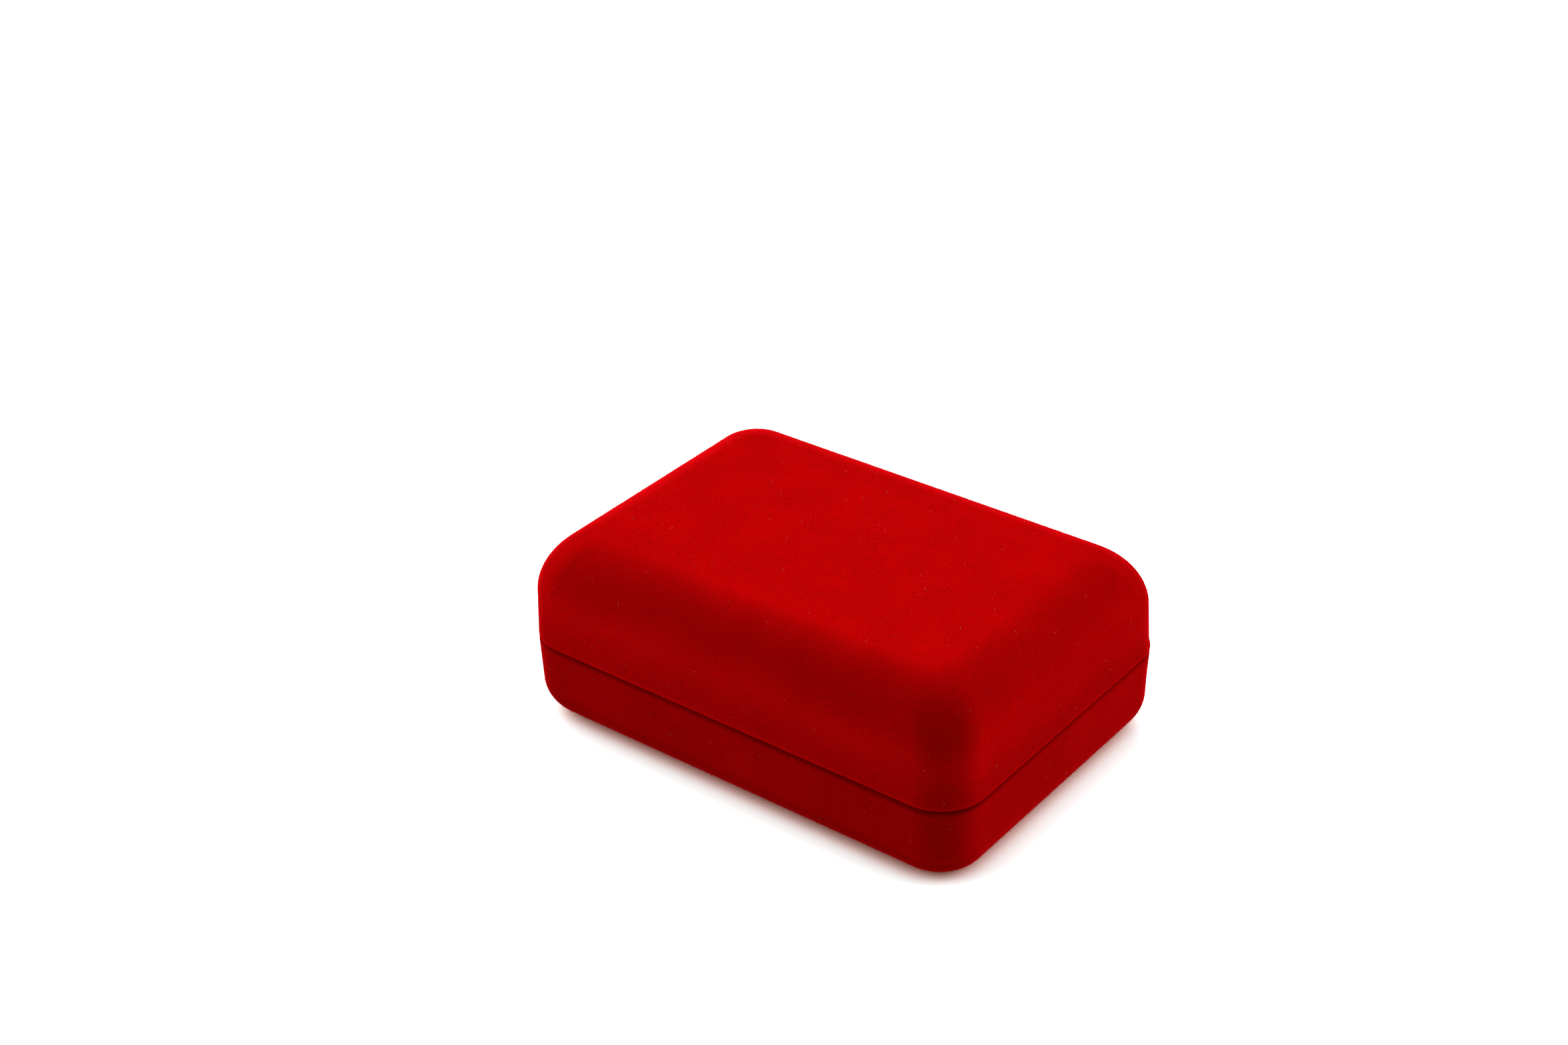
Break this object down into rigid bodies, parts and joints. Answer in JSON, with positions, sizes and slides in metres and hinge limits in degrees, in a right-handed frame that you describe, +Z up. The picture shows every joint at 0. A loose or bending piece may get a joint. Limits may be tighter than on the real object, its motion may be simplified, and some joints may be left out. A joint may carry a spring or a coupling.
{
  "type": "cufflink box",
  "caption": "Flocked cufflink box whose rounded lid opens on a steel snap hinge, with a padded slotted insert and a padded satin liner.",
  "frame": {"origin": "middle of the flat underside, on the surface the box stands on", "axes": "+X along the box's long side, +Y towards the hinge, +Z up; the lid opens at the front, on the -Y side"},
  "size_m": [0.085, 0.0612, 0.0328],
  "materials": {
    "red_flock": "moulded polystyrene with a short red flock all over",
    "red_velvet": "short-pile red velvet",
    "ivory_satin": "plain ivory satin",
    "grey_card": "grey pulp card",
    "white_foam": "soft foam or wadding",
    "plated_steel": "stamped sheet, nickel plated",
    "spring_steel": "blued spring strip"
  },
  "bodies": {
    "base": {"base_shell": "red_flock", "hinge_leaf_base": "plated_steel", "hinge_pin": "plated_steel", "snap_spring": "spring_steel", "insert_card": "grey_card", "insert_foam": "white_foam", "insert_cover": "red_velvet"},
    "lid": {"lid_shell": "red_flock", "hinge_leaf_lid": "plated_steel", "liner_card": "grey_card", "liner_wadding": "white_foam", "liner_satin": "ivory_satin"}
  },
  "joints": [
    {"name": "lid_hinge", "type": "hinge", "parent": "base", "child": "lid", "pos_m": [0, 0.03035, 0.01435], "axis": [-1, 0, 0], "range_deg": [0, 100], "deforming": ["snap_spring"]}
  ]
}
